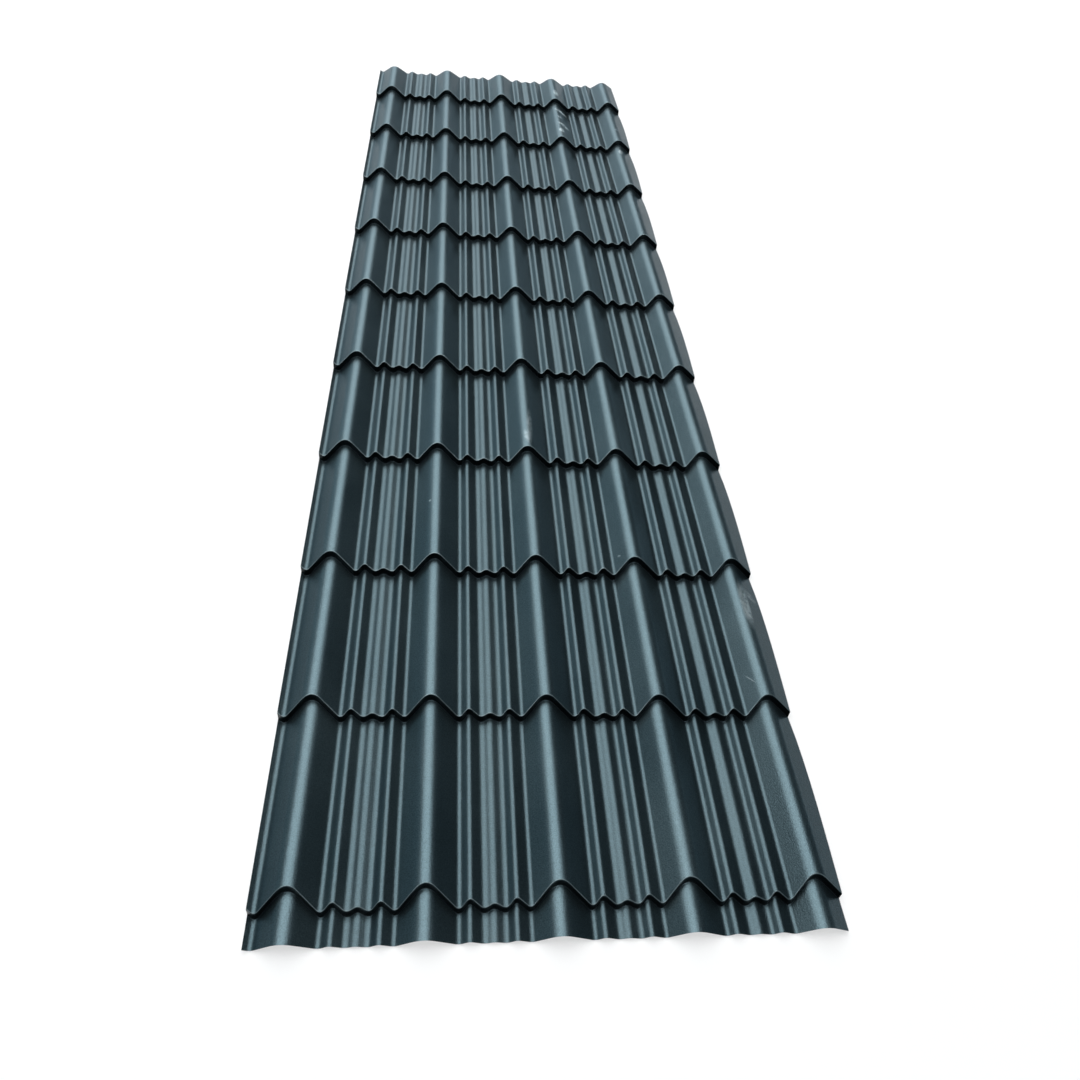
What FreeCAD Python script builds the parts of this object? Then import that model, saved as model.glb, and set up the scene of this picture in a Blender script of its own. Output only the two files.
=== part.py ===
import FreeCAD, Part
import math
import os
from FreeCAD import Vector

# Tile-profile roofing sheet, pressed from one piece of painted steel. Lengths in mm.
# X runs across the sheet, Y up the roof slope, Z out of the roof.
# The origin is at the middle of the sheet, on the level it lies on.

# Metal
SHEET_THICKNESS = 0.5

# Across the sheet, measured from crest to crest
PITCH = 207.0
CREST_COUNT = 5
LEFT_MARGIN = 55.7              # first crest to the left edge
RIGHT_MARGIN = 41.8             # last crest to the right edge

# Up the sheet, measured in the troughs
COURSE = 330.0                  # step to step
STEP_COUNT = 10
UPPER_STRIP = 248.0             # topmost step to the upper cut edge
NOSE = 47.0                     # lowest step to the eave cut edge

# Steps
STEP_HEIGHT = 16.0
RISER_RUN = 1.5                 # how far a riser leans out from its lip to its foot
CREST_SETBACK = 32.3            # how far up the slope a step lies at a crest, from where it lies in a trough

# Main ridges, a little steeper on the left: height, reach of either flank, half widths of the bends
CREST_HEIGHT = 21.2
CREST_LEFT_FLANK = 41.5
CREST_RIGHT_FLANK = 49.0
CREST_TOP_ROUNDING = 17.0
CREST_FOOT_ROUNDING = 6.0

# Small ribs of the troughs, each placed by its share of the pitch from the crest at its left
OUTER_RIB_PLACES = (0.33, 0.678)
OUTER_RIB_HEIGHT = 7.2
OUTER_RIB_LEFT_FLANK = 13.0
OUTER_RIB_RIGHT_FLANK = 19.5
MIDDLE_RIB_PLACE = 0.5135
MIDDLE_RIB_HEIGHT = 3.2
MIDDLE_RIB_LEFT_FLANK = 12.0
MIDDLE_RIB_RIGHT_FLANK = 14.5
RIB_TOP_ROUNDING = 6.0

# The right edge springs out between two steps
EDGE_BOW = 6.0
EDGE_BOW_BIAS = 0.7             # under 1 it bows most in the upper half of a course

# How finely bends and bows are drawn
BEND_TURN = 15.0                # largest turn of the metal between two flats, in degrees
EDGE_BOW_FLATS = 8

STEP_LEAN = CREST_SETBACK / CREST_HEIGHT
COURSE_LINE = Vector(0, RISER_RUN - COURSE, STEP_HEIGHT)
RISER_LINE = Vector(0, -RISER_RUN, -STEP_HEIGHT)


def ridge(place, height, left_flank, right_flank, top_rounding, foot_rounding):
    """The corners of one ridge, each a point of the cross-section and the half width of its rounding."""
    apex = height / (1 - top_rounding / (left_flank + right_flank))
    return [
        (Vector(place - left_flank, 0, 0), foot_rounding),
        (Vector(place, 0, apex), top_rounding),
        (Vector(place + right_flank, 0, 0), foot_rounding),
    ]


def crest(place):
    flanks = (CREST_LEFT_FLANK, CREST_RIGHT_FLANK)
    return ridge(place, CREST_HEIGHT, *flanks, CREST_TOP_ROUNDING, CREST_FOOT_ROUNDING)


def outer_rib(place):
    return ridge(place, OUTER_RIB_HEIGHT, OUTER_RIB_LEFT_FLANK, OUTER_RIB_RIGHT_FLANK, RIB_TOP_ROUNDING, 0)


def middle_rib(place):
    return ridge(place, MIDDLE_RIB_HEIGHT, MIDDLE_RIB_LEFT_FLANK, MIDDLE_RIB_RIGHT_FLANK, RIB_TOP_ROUNDING, 0)


def ridges():
    """All ridges from left to right, the first crest at zero, with a whole trough beyond each outer crest."""
    found = []
    for i in range(-1, CREST_COUNT):
        left_rib, right_rib = OUTER_RIB_PLACES
        found.append(crest(i * PITCH))
        found.append(outer_rib((i + left_rib) * PITCH))
        found.append(middle_rib((i + MIDDLE_RIB_PLACE) * PITCH))
        found.append(outer_rib((i + right_rib) * PITCH))
    return found


def between(start, end, x):
    """The point at x on the line from start to end."""
    return start + (end - start) * ((x - start.x) / (end.x - start.x))


def crossing(top, foot, next_foot, next_top):
    """Where two facing flanks meet when their feet would overlap."""
    fall = top.z / (foot.x - top.x)
    next_fall = next_top.z / (next_top.x - next_foot.x)
    height = (foot.x - next_foot.x) * fall * next_fall / (fall + next_fall)
    return Vector(foot.x - height / fall, 0, height)


def whole_chain():
    """Corners of neighbouring ridges joined into one line, wider than the sheet."""
    rows = ridges()
    chain = [rows[0][1]]
    for row, following in zip(rows, rows[1:]):
        if row[2][0].x < following[0][0].x:
            chain += [row[2], following[0]]
        else:
            meeting = crossing(row[1][0], row[2][0], following[0][0], following[1][0])
            chain.append((meeting, 0))
        chain.append(following[1])
    return chain


def trimmed_chain():
    """The corners from the left edge of the sheet to its right edge."""
    left_edge = -LEFT_MARGIN
    right_edge = (CREST_COUNT - 1) * PITCH + RIGHT_MARGIN
    chain = whole_chain()
    kept = []
    for (start, _), (end, rounding) in zip(chain, chain[1:]):
        if start.x <= left_edge < end.x:
            kept.append((between(start, end, left_edge), 0))
        if left_edge < end.x < right_edge:
            kept.append((end, rounding))
        if start.x < right_edge <= end.x:
            kept.append((between(start, end, right_edge), 0))
    return kept


def bend(before, corner, after, rounding):
    """Points of the rounded corner between two flats, evenly along a parabola that touches both."""
    reach = min(rounding, (corner.x - before.x) / 2, (after.x - corner.x) / 2)
    if reach == 0:
        return [corner]
    enter = between(before, corner, corner.x - reach)
    leave = between(corner, after, corner.x + reach)
    turn = math.degrees((corner - before).getAngle(after - corner))
    flats = max(1, math.ceil(turn / BEND_TURN))
    points = []
    for i in range(flats + 1):
        share = i / flats
        points.append(enter * (1 - share) ** 2 + corner * (2 * share * (1 - share)) + leave * share ** 2)
    return points


def cross_section():
    """Points of the painted face from edge to edge, as heights over the trough."""
    chain = trimmed_chain()
    points = [chain[0][0]]
    for (before, _), (corner, rounding), (after, _) in zip(chain, chain[1:], chain[2:]):
        points += bend(before, corner, after, rounding)
    points.append(chain[-1][0])
    return points


def inward(across):
    """From the painted face to the underside where the metal runs in this direction across the sheet.

    It keeps the thickness both on the courses and on the risers.
    """
    along_step = Vector(across.x, STEP_LEAN * across.z, across.z)
    down = along_step.cross(COURSE_LINE).normalize()
    back = along_step.cross(RISER_LINE).normalize()
    return (down + back) * (SHEET_THICKNESS / (1 + down.dot(back)))


def offsets(points):
    """The way inward at every point of the cross-section."""
    flats = [(end - start).normalize() for start, end in zip(points, points[1:])]
    found = [inward(flats[0])]
    for before, after in zip(flats, flats[1:]):
        mitre = math.cos(before.getAngle(after) / 2)
        found.append(inward(before + after) / mitre)
    found.append(inward(flats[-1]))
    return found


def slide(point, y):
    """The point moved along its course to a given y."""
    return point + COURSE_LINE * ((y - point.y) / COURSE_LINE.y)


def track(point, offset):
    """One point of the cross-section followed down the sheet, stretch by stretch.

    The stretches are the upper strip, then a riser and a course in turn, down to the eave.
    """
    lip = Vector(point.x, STEP_LEAN * point.z, STEP_HEIGHT + point.z) + offset
    stretches = [[slide(lip, UPPER_STRIP), lip]]
    for i in range(STEP_COUNT):
        foot = lip + RISER_LINE
        stretches += [[lip, foot], [foot, foot + COURSE_LINE]]
        lip = foot + COURSE_LINE
    eave = -(STEP_COUNT - 1) * COURSE - NOSE
    stretches[-1] = [foot, slide(foot, eave)]
    return stretches


def bowed(stretches, outward):
    """The track of the right edge, with each course between two steps bowed out in its own plane."""
    found = list(stretches)
    for i in range(2, 2 * STEP_COUNT, 2):
        start, end = stretches[i]
        found[i] = []
        for j in range(EDGE_BOW_FLATS + 1):
            share = j / EDGE_BOW_FLATS
            bow = EDGE_BOW * math.sin(math.pi * share ** EDGE_BOW_BIAS)
            found[i].append(start + (end - start) * share + outward * bow)
    return found


def flat(outline):
    return Part.Face(Part.makePolygon(outline + outline[:1]))


def ribbon(track_a, track_b):
    """The flats between two tracks of one skin, one for each course and each riser."""
    return [flat(a + b[::-1]) for a, b in zip(track_a, track_b)]


def long_edge(painted, under):
    """The cut edge of the metal along one side of the sheet."""
    faces = []
    for a, b in zip(painted, under):
        for i in range(len(a) - 1):
            faces.append(flat([a[i], b[i], b[i + 1], a[i + 1]]))
    return faces


def cross_edge(painted_ends, under_ends):
    """The cut edge of the metal across the sheet."""
    return flat(painted_ends + under_ends[::-1])


def roofing_sheet():
    """The whole sheet as one closed solid."""
    points = cross_section()
    painted = [track(point, Vector()) for point in points]
    under = [track(point, offset) for point, offset in zip(points, offsets(points))]
    last_flat = points[-1] - points[-2]
    outward = Vector(last_flat.x, STEP_LEAN * last_flat.z, last_flat.z) / last_flat.x
    painted_bows = bowed(painted[-1], outward)
    under_bows = bowed(under[-1], outward)
    faces = [
        cross_edge([line[0][0] for line in painted], [line[0][0] for line in under]),
        cross_edge([line[-1][-1] for line in painted], [line[-1][-1] for line in under]),
    ]
    faces += long_edge(painted[0], under[0])
    faces += long_edge(painted_bows, under_bows)
    for skin in (painted, under):
        for left, right in zip(skin, skin[1:]):
            faces += ribbon(left, right)
    for stretch in painted_bows + under_bows:
        if len(stretch) > 2:
            faces.append(flat(stretch))
    shell = Part.makeShell(faces)
    shell.sewShape()
    sheet = Part.makeSolid(shell)
    if sheet.Volume < 0:
        sheet.reverse()
    box = sheet.BoundBox
    sheet.translate(Vector(-box.Center.x, -box.Center.y, -box.ZMin))
    return sheet


os.makedirs("parts", exist_ok=True)
roofing_sheet().exportStep("parts/roofing_sheet.step")
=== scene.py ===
import math

import bpy
import numpy as np
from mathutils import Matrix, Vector


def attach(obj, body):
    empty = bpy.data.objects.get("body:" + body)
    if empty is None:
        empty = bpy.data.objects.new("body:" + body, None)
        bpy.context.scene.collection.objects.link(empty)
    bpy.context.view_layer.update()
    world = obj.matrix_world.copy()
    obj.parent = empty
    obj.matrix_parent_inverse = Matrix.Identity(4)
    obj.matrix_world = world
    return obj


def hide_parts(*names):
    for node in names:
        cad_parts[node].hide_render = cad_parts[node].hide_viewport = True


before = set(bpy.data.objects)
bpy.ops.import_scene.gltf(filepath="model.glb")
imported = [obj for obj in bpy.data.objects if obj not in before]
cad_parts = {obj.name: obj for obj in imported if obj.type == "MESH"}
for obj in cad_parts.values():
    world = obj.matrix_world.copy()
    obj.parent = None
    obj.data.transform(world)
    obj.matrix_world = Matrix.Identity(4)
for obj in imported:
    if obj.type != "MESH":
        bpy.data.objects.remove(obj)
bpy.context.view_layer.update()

MM = 0.001

# Sizes (mm), counts and shares of the sheet, the same as in its CAD source
SHEET_THICKNESS = 0.5
PITCH = 207.0
CREST_COUNT = 5
LEFT_MARGIN = 55.7
RIGHT_MARGIN = 41.8
COURSE = 330.0
STEP_COUNT = 10
UPPER_STRIP = 248.0
NOSE = 47.0
STEP_HEIGHT = 16.0
RISER_RUN = 1.5
CREST_SETBACK = 32.3
CREST_HEIGHT = 21.2
CREST_LEFT_FLANK = 41.5
CREST_RIGHT_FLANK = 49.0
CREST_TOP_ROUNDING = 17.0
CREST_FOOT_ROUNDING = 6.0
OUTER_RIB_PLACES = (0.33, 0.678)
OUTER_RIB_HEIGHT = 7.2
OUTER_RIB_LEFT_FLANK = 13.0
OUTER_RIB_RIGHT_FLANK = 19.5
MIDDLE_RIB_PLACE = 0.5135
MIDDLE_RIB_HEIGHT = 3.2
MIDDLE_RIB_LEFT_FLANK = 12.0
MIDDLE_RIB_RIGHT_FLANK = 14.5
RIB_TOP_ROUNDING = 6.0
EDGE_BOW = 6.0
EDGE_BOW_BIAS = 0.7
EDGE_BOW_FLATS = 8

# Finer than the CAD source: soft feet of the small ribs, pressed bends at each step, more flats in a bend
RIB_FOOT_ROUNDING = 3.2
LIP_ROUNDING = 2.2
FOOT_ROUNDING = 2.0
BEND_TURN = math.radians(7.0)
STEP_BEND_TURN = math.radians(15.0)

# Directions down a course and down a riser, and how far a step runs up the slope for its height
COURSE_LINE = np.array([0.0, RISER_RUN - COURSE, STEP_HEIGHT])
COURSE_LINE /= np.linalg.norm(COURSE_LINE)
RISER_LINE = np.array([0.0, -RISER_RUN, -STEP_HEIGHT])
RISER_LINE /= np.linalg.norm(RISER_LINE)
STEP_LEAN = CREST_SETBACK / CREST_HEIGHT

# Where the middle ridge stands across the frame
MIDDLE_CREST = (LEFT_MARGIN - RIGHT_MARGIN - EDGE_BOW) / 2

# Shades along the two bends of a step: 1 for a painted highlight on the lip, -1 for painted shade on the
# riser, 0 on the courses
LIP_SHADES = (0.0, 1.0, 1.0, 0.0, -1.0, -1.0)
FOOT_SHADES = (-1.0, -1.0, 0.0)

# Chalky marks on the painted face: from, to, half width (all mm), strength
MARKS = [
    ((217, 1506), (220, 1452), 11, 0.6),
    ((214, 1352), (246, 1322), 13, 0.8),
    ((214, 1285), (226, 1262), 8, 0.45),
    ((216, 1216), (241, 1190), 13, 0.8),
    ((215, 1156), (219, 1134), 12, 0.6),
    ((15, -425), (11, -555), 8, 0.25),
    ((3, -510), (9, -545), 10, 0.2),
    ((427, -945), (428, -1062), 11, 0.45),
    ((437, -966), (453, -985), 10, 0.2),
    ((424, -1020), (432, -1040), 7, 0.5),
    ((389, -1171), (403, -1193), 1.4, 0.25),
    ((-215, -735), (-215, -736), 3.5, 0.5),
    ((182, -879), (182, -880), 3.5, 0.5),
    ((421, 1036), (422, 1008), 9, 0.55),
    ((424, 1190), (424, 1180), 8, 0.3),
]

# Linear colours
DEEP_SLATE = (0.056, 0.085, 0.097)
PALE_SLATE = (0.066, 0.097, 0.109)
# The next colour is for the chalky marks and also for the painted highlight along the lips of the steps
CHALK_AND_LIP_HIGHLIGHT = (0.62, 0.72, 0.74)
DARK_BACKING = (0.30, 0.31, 0.31)
PALE_BACKING = (0.38, 0.39, 0.39)
DULL_ZINC = (0.22, 0.23, 0.24)
BRIGHT_ZINC = (0.45, 0.46, 0.47)

# Strengths of the floor's glow, of the faint light all round and of the backdrop that metal mirrors
FLOOR_GLOW = 1.12
WORLD_STRENGTH = 0.08
BACKDROP_STRENGTH = 0.9

# The photograph's camera, from the fit of the step lines: place in metres, turn in degrees
CAMERA_PLACE = (-0.1882, -2.0284, 1.3664)
CAMERA_TURN = (41.3777, -5.5184, -3.3266)
CAMERA_LENS = 28.57
CAMERA_SHIFT = (0.00286, 0.0030)

# Least length to divide by: where two bends meet on a short flat, a cut face between them has no width
LEAST_LENGTH = 1e-12

# Material slots of the sheet's mesh
PAINTED, UNDERSIDE, CUT = range(3)

# Colour sockets of a Mix node
MIX_FROM, MIX_TO, MIX_RESULT = 6, 7, 2


def unit(vector):
    return vector / max(np.linalg.norm(vector), LEAST_LENGTH)


def turn_between(before, after):
    """The angle between two directions."""
    return math.acos(np.clip(unit(before) @ unit(after), -1, 1))


def parabola(start, corner, end, share):
    """The point at this share of the parabola that touches both lines of a corner."""
    return start * (1 - share) ** 2 + corner * 2 * share * (1 - share) + end * share ** 2


def ridge(place, height, left_flank, right_flank, top_rounding, foot_rounding):
    """Corners of one ridge: x, height and half width of the rounding."""
    apex = height / (1 - top_rounding / (left_flank + right_flank))
    return [
        (place - left_flank, 0.0, foot_rounding),
        (place, apex, top_rounding),
        (place + right_flank, 0.0, foot_rounding),
    ]


def crest(place):
    flanks = (CREST_LEFT_FLANK, CREST_RIGHT_FLANK)
    return ridge(place, CREST_HEIGHT, *flanks, CREST_TOP_ROUNDING, CREST_FOOT_ROUNDING)


def outer_rib(place):
    flanks = (OUTER_RIB_LEFT_FLANK, OUTER_RIB_RIGHT_FLANK)
    return ridge(place, OUTER_RIB_HEIGHT, *flanks, RIB_TOP_ROUNDING, RIB_FOOT_ROUNDING)


def middle_rib(place):
    flanks = (MIDDLE_RIB_LEFT_FLANK, MIDDLE_RIB_RIGHT_FLANK)
    return ridge(place, MIDDLE_RIB_HEIGHT, *flanks, RIB_TOP_ROUNDING, RIB_FOOT_ROUNDING)


def ridge_chain():
    """Corners of all ridges from left to right, past both edges of the sheet."""
    left_rib, right_rib = OUTER_RIB_PLACES
    chain = []
    for i in range(-1, CREST_COUNT):
        chain += crest(i * PITCH)
        chain += outer_rib((i + left_rib) * PITCH)
        chain += middle_rib((i + MIDDLE_RIB_PLACE) * PITCH)
        chain += outer_rib((i + right_rib) * PITCH)
    return chain


def between(start, end, x):
    """The corner at x on the line from start to end."""
    share = (x - start[0]) / (end[0] - start[0])
    return (x, start[1] + share * (end[1] - start[1]), 0.0)


def trimmed(chain):
    """The corners from the left edge of the sheet to its right edge."""
    left_edge = -LEFT_MARGIN
    right_edge = (CREST_COUNT - 1) * PITCH + RIGHT_MARGIN
    kept = []
    for start, end in zip(chain, chain[1:]):
        if start[0] <= left_edge < end[0]:
            kept.append(between(start, end, left_edge))
        if left_edge < end[0] < right_edge:
            kept.append(end)
        if start[0] < right_edge <= end[0]:
            kept.append(between(start, end, right_edge))
    return kept


def cross_section():
    """Points and tangents across the sheet, with each corner rounded to a parabola."""
    corners = trimmed(ridge_chain())
    at = [np.array([x, height]) for x, height, _ in corners]
    points = [at[0]]
    tangents = [unit(at[1] - at[0])]
    for before, corner, after, (_, _, rounding) in zip(at, at[1:], at[2:], corners[1:]):
        coming, going = corner - before, after - corner
        reach = min(rounding, coming[0] / 2, going[0] / 2)
        start = corner - coming * (reach / coming[0])
        end = corner + going * (reach / going[0])
        flats = max(2, math.ceil(turn_between(coming, going) / BEND_TURN))
        for i in range(flats + 1):
            share = i / flats
            points.append(parabola(start, corner, end, share))
            tangents.append(unit((corner - start) * (1 - share) + (end - corner) * share))
    points.append(at[-1])
    tangents.append(unit(at[-1] - at[-2]))
    return np.array(points), np.array(tangents)


def step_bend(corner, coming, going, reach, shades):
    """One bend of the lengthwise line, as points with their tangents and shades."""
    start = corner - coming * reach
    end = corner + going * reach
    flats = math.ceil(turn_between(coming, going) / STEP_BEND_TURN)
    found = []
    for i in range(flats + 1):
        share = i / flats
        tangent = unit(coming * (1 - share) + going * share)
        shade = np.interp(share, np.linspace(0, 1, len(shades)), shades)
        found.append((parabola(start, corner, end, share), tangent, shade))
    return found


def lengthwise():
    """The line of a trough from the upper cut edge to the eave, as points, tangents and shades."""
    found = []
    lip = np.array([0.0, 0.0, STEP_HEIGHT])
    drop = RISER_LINE * math.hypot(RISER_RUN, STEP_HEIGHT)
    run = COURSE_LINE * math.hypot(COURSE - RISER_RUN, STEP_HEIGHT)
    for _ in range(STEP_COUNT):
        found += step_bend(lip, COURSE_LINE, RISER_LINE, LIP_ROUNDING, LIP_SHADES)
        foot = lip + drop
        found += step_bend(foot, RISER_LINE, COURSE_LINE, FOOT_ROUNDING, FOOT_SHADES)
        lip = foot + run
    top = (found[0][0], COURSE_LINE, 0.0)
    eave = (found[-1][0], COURSE_LINE, 0.0)
    return [top] + found + [eave]


def painted_rows():
    """The painted face row by row from the upper cut edge to the eave: points, normals and shades."""
    section, slopes = cross_section()
    across = np.c_[section[:, 0], STEP_LEAN * section[:, 1], section[:, 1]]
    across_tangents = np.c_[slopes[:, 0], STEP_LEAN * slopes[:, 1], slopes[:, 1]]
    rows, normals, shades = [], [], []
    for point, tangent, shade in lengthwise():
        normal = np.cross(tangent, across_tangents)
        rows.append(across + point)
        normals.append(normal / np.linalg.norm(normal, axis=1)[:, None])
        shades.append([shade] * len(section))
    return np.array(rows), np.array(normals), np.array(shades)


def cut_to_length(rows):
    """The rows with the first and the last slid along their courses to the straight cut ends."""
    rows = rows.copy()
    eave = -(STEP_COUNT - 1) * COURSE - NOSE
    for row, edge in ((0, UPPER_STRIP), (-1, eave)):
        move = (edge - rows[row][:, 1]) / COURSE_LINE[1]
        rows[row] += move[:, None] * COURSE_LINE
    return rows


def bow_points(start, end, outward):
    """Points of the right edge between two steps, where it springs out in the plane of its flank."""
    found = []
    for i in range(1, EDGE_BOW_FLATS):
        share = i / EDGE_BOW_FLATS
        bow = EDGE_BOW * math.sin(math.pi * share ** EDGE_BOW_BIAS)
        found.append(start + (end - start) * share + outward * bow)
    return found


class Shell:
    """The faces of the sheet as they are gathered: painted face, underside and cut edges.

    Points are known by their places in one list: the painted face row by row, the underside in the
    same order, and then the points of the bowed right edge.
    """

    def __init__(self, rows, normals, shades):
        under = cut_to_length(rows - normals * SHEET_THICKNESS)
        under[:, [0, -1], 0] = rows[:, [0, -1], 0]
        painted = cut_to_length(rows)
        self.count, self.width = painted.shape[:2]
        self.under = self.count * self.width
        self.points = list(np.concatenate([painted.reshape(-1, 3), under.reshape(-1, 3)]))
        self.normals = list(np.concatenate([normals.reshape(-1, 3), -normals.reshape(-1, 3)]))
        self.shades = list(shades.ravel())
        self.faces, self.slots, self.loop_normals = [], [], []

    def is_course(self, row):
        """Whether a whole course between two steps lies below this row."""
        length = self.points[row * self.width][1] - self.points[(row + 1) * self.width][1]
        return 0 < row < self.count - 2 and length > COURSE / 2

    def add(self, outline, slot):
        self.faces.append(outline)
        self.slots.append(slot)
        self.loop_normals += [self.normals[place] for place in outline]

    def add_bow(self, row):
        """Puts in the bowed points of one course, and returns their places on both faces."""
        start = (row + 1) * self.width - 1
        end = start + self.width
        outward = self.points[start] - self.points[start - 1]
        outward = outward / outward[0]
        added = []
        for shift in (0, self.under):
            first = len(self.points)
            made = bow_points(self.points[start + shift], self.points[end + shift], outward)
            self.points += made
            self.normals += [self.normals[start + shift]] * len(made)
            added.append(list(range(first, len(self.points))))
        return added

    def add_cell(self, upper, lower, painted_bow, under_bow):
        """The faces of both skins between two rows, to the right of these places."""
        self.add([upper, lower, lower + 1] + painted_bow[::-1] + [upper + 1], PAINTED)
        upper += self.under
        lower += self.under
        self.add([upper, upper + 1] + under_bow + [lower + 1, lower], UNDERSIDE)

    def add_skins(self):
        """Both skins. Returns the places of the right edge on each, from top to bottom."""
        painted_edge = [self.width - 1]
        under_edge = [self.under + self.width - 1]
        for row in range(self.count - 1):
            upper, lower = row * self.width, (row + 1) * self.width
            last = self.width - 2
            painted_bow, under_bow = self.add_bow(row) if self.is_course(row) else ([], [])
            for i in range(last):
                self.add_cell(upper + i, lower + i, [], [])
            self.add_cell(upper + last, lower + last, painted_bow, under_bow)
            painted_edge += painted_bow + [lower + self.width - 1]
            under_edge += under_bow + [self.under + lower + self.width - 1]
        return painted_edge, under_edge

    def add_rim(self, painted, under):
        """The cut edge of the metal along a line of places on both faces."""
        for a, b, c, d in zip(painted, under, under[1:], painted[1:]):
            side = np.cross(self.points[b] - self.points[a], self.points[d] - self.points[a])
            self.faces.append([a, b, c, d])
            self.slots.append(CUT)
            self.loop_normals += [unit(side)] * 4

    def add_rims(self, painted_edge, under_edge):
        """The cut edge all round the sheet."""
        left = [row * self.width for row in range(self.count)]
        top = list(range(self.width))
        bottom = [(self.count - 1) * self.width + i for i in top]
        self.add_rim(left, [self.under + place for place in left])
        self.add_rim(bottom, [self.under + place for place in bottom])
        self.add_rim(painted_edge[::-1], under_edge[::-1])
        self.add_rim(top[::-1], [self.under + place for place in top[::-1]])


def sheet_object(paint, backing, bare):
    """The whole sheet with exact normals, placed as it lies in the frame."""
    shell = Shell(*painted_rows())
    shell.add_rims(*shell.add_skins())
    points = np.array(shell.points)
    lowest, highest = points.min(axis=0), points.max(axis=0)
    middle = (lowest + highest) / 2
    points = (points - [middle[0], middle[1], lowest[2]]) * MM
    mesh = bpy.data.meshes.new("roofing_sheet_skin")
    mesh.from_pydata(points.tolist(), [], shell.faces)
    for material in (paint, backing, bare):
        mesh.materials.append(material)
    mesh.polygons.foreach_set("material_index", shell.slots)
    mesh.polygons.foreach_set("use_smooth", [True] * len(shell.faces))
    mesh.update()
    shades = shell.shades + [0.0] * (len(points) - len(shell.shades))
    mesh.attributes.new("step_shade", "FLOAT", "POINT").data.foreach_set("value", shades)
    mesh.normals_split_custom_set([tuple(normal) for normal in shell.loop_normals])
    made = bpy.data.objects.new("sheet_skin", mesh)
    bpy.context.scene.collection.objects.link(made)
    return made


def new_material(name):
    """A node material with a Principled shader, returned with its node tree and shader."""
    material = bpy.data.materials.new(name)
    material.use_nodes = True
    tree = material.node_tree
    return material, tree, tree.nodes["Principled BSDF"]


def node(tree, kind, **settings):
    made = tree.nodes.new(kind)
    for name, value in settings.items():
        setattr(made, name, value)
    return made


def object_place(tree):
    return node(tree, "ShaderNodeTexCoord").outputs["Object"]


def math_node(tree, operation, a, b):
    """The result of a Math node on the output a, and b, which is an output or a number."""
    made = node(tree, "ShaderNodeMath", operation=operation)
    tree.links.new(a, made.inputs[0])
    if isinstance(b, float):
        made.inputs[1].default_value = b
    else:
        tree.links.new(b, made.inputs[1])
    return made.outputs[0]


def multiply(tree, a, b):
    return math_node(tree, "MULTIPLY", a, b)


def highest_of(tree, values):
    found = values[0]
    for value in values[1:]:
        found = math_node(tree, "MAXIMUM", found, value)
    return found


def ranged(tree, value, low, high, new_low, new_high):
    """The value, carried from one range to another and kept in it."""
    made = node(tree, "ShaderNodeMapRange")
    for name, number in (("From Min", low), ("From Max", high), ("To Min", new_low), ("To Max", new_high)):
        made.inputs[name].default_value = number
    tree.links.new(value, made.inputs["Value"])
    return made.outputs["Result"]


def noise(tree, place, scale, detail=2.0, roughness=0.5):
    made = node(tree, "ShaderNodeTexNoise")
    made.inputs["Scale"].default_value = scale
    made.inputs["Detail"].default_value = detail
    made.inputs["Roughness"].default_value = roughness
    tree.links.new(place, made.inputs["Vector"])
    return made.outputs["Fac"]


def colour_ramp(tree, value, first, second, positions=(0.0, 1.0)):
    """A colour from first to second as the value goes from one position to the other."""
    made = node(tree, "ShaderNodeValToRGB")
    for element, position, colour in zip(made.color_ramp.elements, positions, (first, second)):
        element.position = position
        element.color = (*colour, 1)
    tree.links.new(value, made.inputs["Fac"])
    return made.outputs["Color"]


def smear(tree, place, start, end, width, strength):
    """A soft-edged patch from start to end (mm), this wide, as a mask."""
    start, end = Vector(start) * MM, Vector(end) * MM
    along = end - start
    moved = node(tree, "ShaderNodeMapping", vector_type="TEXTURE")
    moved.inputs["Location"].default_value = (*((start + end) / 2), 0)
    moved.inputs["Rotation"].default_value = (0, 0, math.atan2(along.y, along.x))
    moved.inputs["Scale"].default_value = (along.length / 2 + width * MM, width * MM, 10)
    tree.links.new(place, moved.inputs["Vector"])
    far = node(tree, "ShaderNodeVectorMath", operation="LENGTH")
    tree.links.new(moved.outputs["Vector"], far.inputs[0])
    return ranged(tree, far.outputs["Value"], 1.0, 0.45, 0.0, strength)


def crest_highlight(tree, place):
    """A painted highlight: a factor on the paint's colour that is highest along the tops of the main ridges.
    """
    split = node(tree, "ShaderNodeSeparateXYZ")
    tree.links.new(place, split.inputs[0])
    # Painted highlight: the paint is made paler towards each ridge top
    across = math_node(tree, "SUBTRACT", split.outputs["X"], MIDDLE_CREST * MM)
    from_crest = math_node(tree, "PINGPONG", across, PITCH / 2 * MM)
    return ranged(tree, from_crest, 4 * MM, 22 * MM, 1.34, 0.96)


def dust_and_lip_highlight_mask(tree, place, step):
    """Where the paint is chalky: the marks, with torn outlines, and a painted highlight along the lips of the
    steps.
    """
    marks = highest_of(tree, [smear(tree, place, *mark) for mark in MARKS])
    torn = ranged(tree, noise(tree, place, 60.0, 6.0, 0.7), 0.34, 0.54, 0.0, 1.0)
    # Painted highlight along the lips of the steps
    lip_highlight = ranged(tree, step, 0.2, 1.0, 0.0, 1.0)
    lip_highlight_amount = ranged(tree, noise(tree, place, 25.0, 4.0), 0.35, 0.65, 0.1, 0.26)
    return highest_of(tree, [multiply(tree, marks, torn), multiply(tree, lip_highlight, lip_highlight_amount)])


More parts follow.
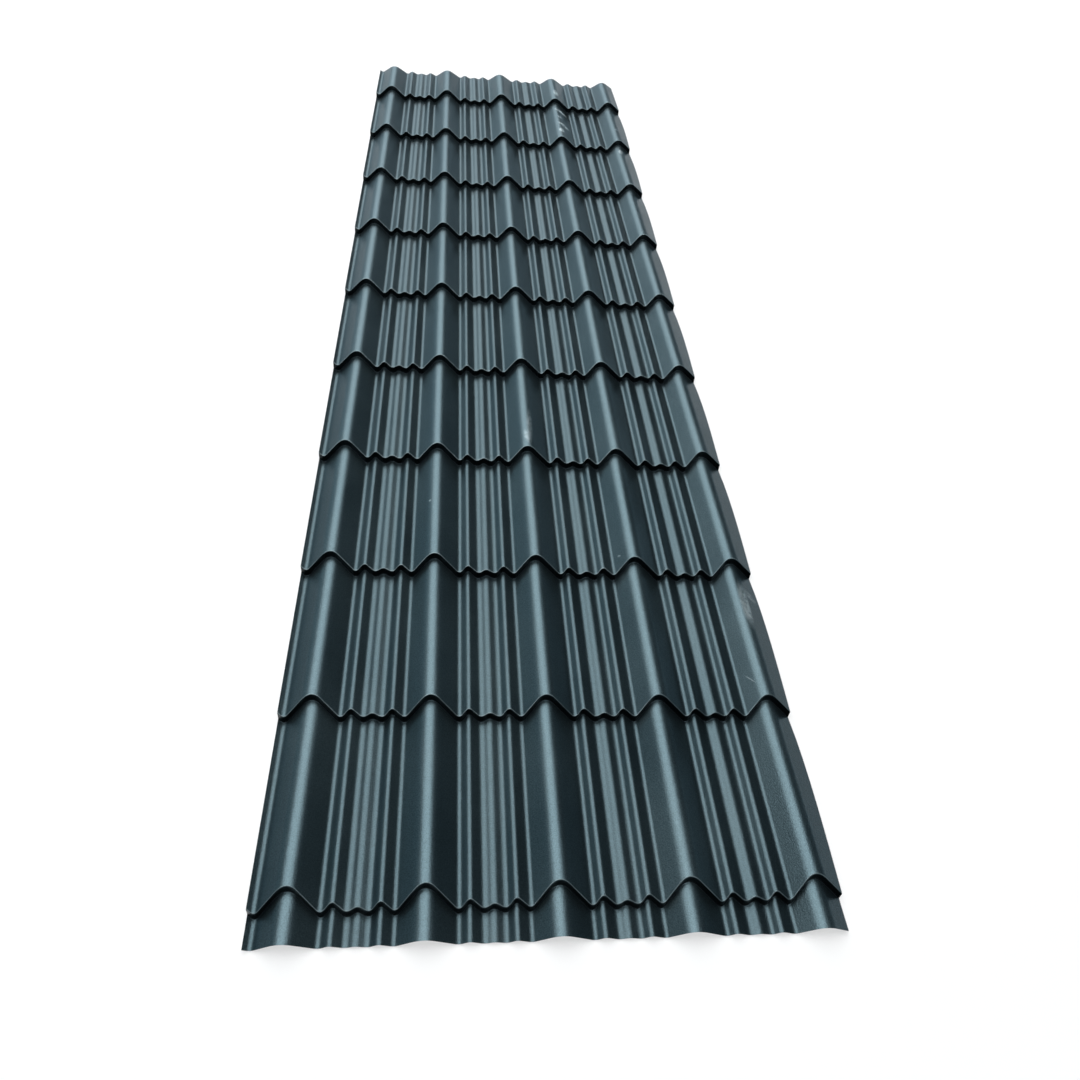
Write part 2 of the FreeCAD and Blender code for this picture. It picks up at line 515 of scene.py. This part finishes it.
def paint_colour(tree, place, step, cloud):
    """Slate that clouds a little, with a fine grain, a painted highlight along the ridge tops and painted
    shade on the risers.
    """
    tone = colour_ramp(tree, cloud, DEEP_SLATE, PALE_SLATE, (0.35, 0.65))
    grain = ranged(tree, noise(tree, place, 480.0, 3.0, 0.7), 0.3, 0.7, 0.72, 1.28)
    # Painted shade: the colour of the risers is darkened
    riser_shade = ranged(tree, step, -1.0, 0.0, 0.12, 1.0)
    # This factor also carries the painted highlight along the ridge tops
    factor = multiply(tree, multiply(tree, crest_highlight(tree, place), grain), riser_shade)
    scaled = node(tree, "ShaderNodeVectorMath", operation="SCALE")
    tree.links.new(tone, scaled.inputs[0])
    tree.links.new(factor, scaled.inputs["Scale"])
    return scaled.outputs[0]


def paint_material():
    """Dark slate paint of the upper face, marked as the photograph shows it, with painted highlights on the
    ridge tops and lips and painted shade on the risers.
    """
    material, tree, shader = new_material("slate_paint")
    place = object_place(tree)
    step = node(tree, "ShaderNodeAttribute", attribute_name="step_shade").outputs["Fac"]
    cloud = noise(tree, place, 5.0, 5.0)
    # The chalky marks together with the painted highlight on the lips
    dust_and_lip_highlight = dust_and_lip_highlight_mask(tree, place, step)
    shaded = node(tree, "ShaderNodeMix", data_type="RGBA")
    shaded.inputs[MIX_TO].default_value = (*CHALK_AND_LIP_HIGHLIGHT, 1)
    tree.links.new(dust_and_lip_highlight, shaded.inputs["Factor"])
    tree.links.new(paint_colour(tree, place, step, cloud), shaded.inputs[MIX_FROM])
    tree.links.new(shaded.outputs[MIX_RESULT], shader.inputs["Base Color"])
    tree.links.new(ranged(tree, dust_and_lip_highlight, 0.0, 1.0, 0.93, 0.1), shader.inputs["Metallic"])
    tree.links.new(ranged(tree, cloud, 0.3, 0.7, 0.30, 0.38), shader.inputs["Roughness"])
    bump = node(tree, "ShaderNodeBump")
    bump.inputs["Strength"].default_value = 0.8
    bump.inputs["Distance"].default_value = 0.4 * MM
    tree.links.new(noise(tree, place, 420.0, 3.0), bump.inputs["Height"])
    tree.links.new(bump.outputs["Normal"], shader.inputs["Normal"])
    return material


def backing_material():
    """Plain grey coat of the underside."""
    material, tree, shader = new_material("grey_backing_coat")
    cloud = noise(tree, object_place(tree), 9.0, 6.0)
    tree.links.new(colour_ramp(tree, cloud, DARK_BACKING, PALE_BACKING), shader.inputs["Base Color"])
    shader.inputs["Roughness"].default_value = 0.5
    return material


def bare_material():
    """Bare zinc-coated steel where the sheet is cut."""
    material, tree, shader = new_material("cut_steel")
    cloud = noise(tree, object_place(tree), 250.0)
    tree.links.new(colour_ramp(tree, cloud, DULL_ZINC, BRIGHT_ZINC), shader.inputs["Base Color"])
    shader.inputs["Metallic"].default_value = 0.8
    shader.inputs["Roughness"].default_value = 0.45
    return material


def of_rays(tree, *kinds):
    """1 for rays of these kinds, and 0 for the others."""
    rays = node(tree, "ShaderNodeLightPath")
    return highest_of(tree, [rays.outputs[f"Is {kind} Ray"] for kind in kinds])


def blended(tree, share, first, second, target):
    """Links two shaders, mixed by the share of the second, to the tree's output."""
    blend = node(tree, "ShaderNodeMixShader")
    tree.links.new(share, blend.inputs["Fac"])
    tree.links.new(first, blend.inputs[1])
    tree.links.new(second, blend.inputs[2])
    tree.links.new(blend.outputs["Shader"], tree.nodes[target].inputs["Surface"])


def floor():
    """A plain pale floor that keeps the shadow of the sheet and shows as white."""
    bpy.ops.mesh.primitive_plane_add(size=400.0, location=(0, 0, 0))
    made = bpy.context.object
    made.name = "floor"
    material, tree, shader = new_material("pale_floor")
    shader.inputs["Base Color"].default_value = (0.9, 0.9, 0.9, 1)
    shader.inputs["Roughness"].default_value = 0.9
    shader.inputs["Specular IOR Level"].default_value = 0.1
    distance = node(tree, "ShaderNodeVectorMath", operation="LENGTH")
    tree.links.new(object_place(tree), distance.inputs[0])
    whiteness = ranged(tree, distance.outputs["Value"], 2.5, 9.0, 0.5, 1.0)
    share = multiply(tree, of_rays(tree, "Camera", "Glossy", "Transmission"), whiteness)
    glow = node(tree, "ShaderNodeEmission")
    glow.inputs["Strength"].default_value = FLOOR_GLOW
    blended(tree, share, shader.outputs["BSDF"], glow.outputs["Emission"], "Material Output")
    made.data.materials.append(material)


def area_light(name, place, target, width, length, radiance, tint=(1, 1, 1)):
    """A soft rectangular lamp of a given brightness."""
    light = bpy.data.lights.new(name, "AREA")
    light.shape = "RECTANGLE"
    light.size, light.size_y = width, length
    light.energy = radiance * math.pi * width * length
    light.color = tint
    made = bpy.data.objects.new(name, light)
    made.location = place
    aim = Vector(target) - Vector(place)
    made.rotation_euler = aim.to_track_quat("-Z", "Y").to_euler()
    bpy.context.scene.collection.objects.link(made)


def lamps():
    """Long soft panels overhead like a strip of sky, and dimmer ones at the left and in front."""
    area_light("overhead", (-2.3, 12, 12), (-2.3, 12, 0), 13.6, 30, 3.15)
    area_light("overhead_far", (-2.3, 42, 12), (-2.3, 42, 0), 13.6, 30, 2.1, (0.76, 0.92, 1.0))
    area_light("far_left", (-19.5, 50, 12), (-19.5, 50, 0), 20, 64, 0.72, (0.66, 0.89, 1.0))
    area_light("left_panel", (-14.5, 5, 7), (0, 5, 0), 40, 5.5, 0.45, (0.65, 0.9, 1.0))
    area_light("front", (0, -16, 8), (0, 0, 0), 28, 11, 0.8)


def studio_world():
    """Faint light all round. The camera sees white, and metal sees a white backdrop low over the floor."""
    world = bpy.data.worlds.new("studio")
    bpy.context.scene.world = world
    world.use_nodes = True
    tree = world.node_tree
    back = tree.nodes["Background"]
    back.inputs["Color"].default_value = (0.6, 0.85, 1.0, 1)
    split = node(tree, "ShaderNodeSeparateXYZ")
    tree.links.new(node(tree, "ShaderNodeTexCoord").outputs["Generated"], split.inputs[0])
    low = ranged(tree, split.outputs["Z"], 0.06, 0.18, 1.0, 0.0)
    reflected = multiply(tree, of_rays(tree, "Glossy"), low)
    strength = ranged(tree, reflected, 0.0, 1.0, WORLD_STRENGTH, BACKDROP_STRENGTH)
    tree.links.new(strength, back.inputs["Strength"])
    white = node(tree, "ShaderNodeBackground")
    white.inputs["Color"].default_value = (1, 1, 1, 1)
    seen = of_rays(tree, "Camera", "Transmission")
    blended(tree, seen, back.outputs["Background"], white.outputs["Background"], "World Output")


def camera():
    data = bpy.data.cameras.new("camera")
    data.sensor_width = 36.0
    data.lens = CAMERA_LENS
    data.shift_x, data.shift_y = CAMERA_SHIFT
    data.clip_end = 100.0
    made = bpy.data.objects.new("camera", data)
    made.location = CAMERA_PLACE
    made.rotation_euler = [math.radians(angle) for angle in CAMERA_TURN]
    bpy.context.scene.collection.objects.link(made)
    bpy.context.scene.camera = made


sheet = sheet_object(paint_material(), backing_material(), bare_material())
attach(sheet, "root")
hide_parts("roofing_sheet")
floor()
lamps()
studio_world()
camera()
bpy.context.scene.view_settings.view_transform = "Standard"

bpy.context.view_layer.update()
